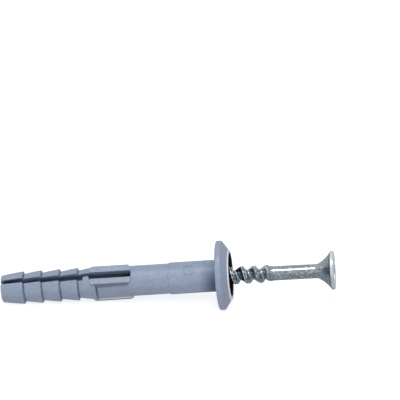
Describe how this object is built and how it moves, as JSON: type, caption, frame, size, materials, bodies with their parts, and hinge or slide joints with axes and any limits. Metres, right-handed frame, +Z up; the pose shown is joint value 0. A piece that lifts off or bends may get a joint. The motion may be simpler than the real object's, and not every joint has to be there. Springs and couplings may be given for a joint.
{
  "type": "hammer fixing plug",
  "caption": "Nylon hammer fixing with barbed, slotted legs, side fins and a countersunk collar, holding a threaded nail screw that slides in as it is driven.",
  "frame": {"origin": "middle of the base of the bounding box, on the table that the part lies on", "axes": "+Z up, +X from the plug's tip towards the nail's head along the length of the part, which climbs 5.2 degrees towards +X as it rests on the collar's rim and the first barb"},
  "size_m": [0.0616, 0.0124, 0.0125],
  "materials": {
    "grey_nylon": "satin moulded",
    "zinc_plate": "bright zinc plated, drawn and rolled"
  },
  "bodies": {
    "sleeve": {"plug": "grey_nylon"},
    "nail": {"nail_screw": "zinc_plate"}
  },
  "joints": [
    {"name": "nail_drive", "type": "slide", "parent": "sleeve", "child": "nail", "axis": [-0.9959, 0, -0.0905], "range_m": [0, 0.01848]}
  ]
}
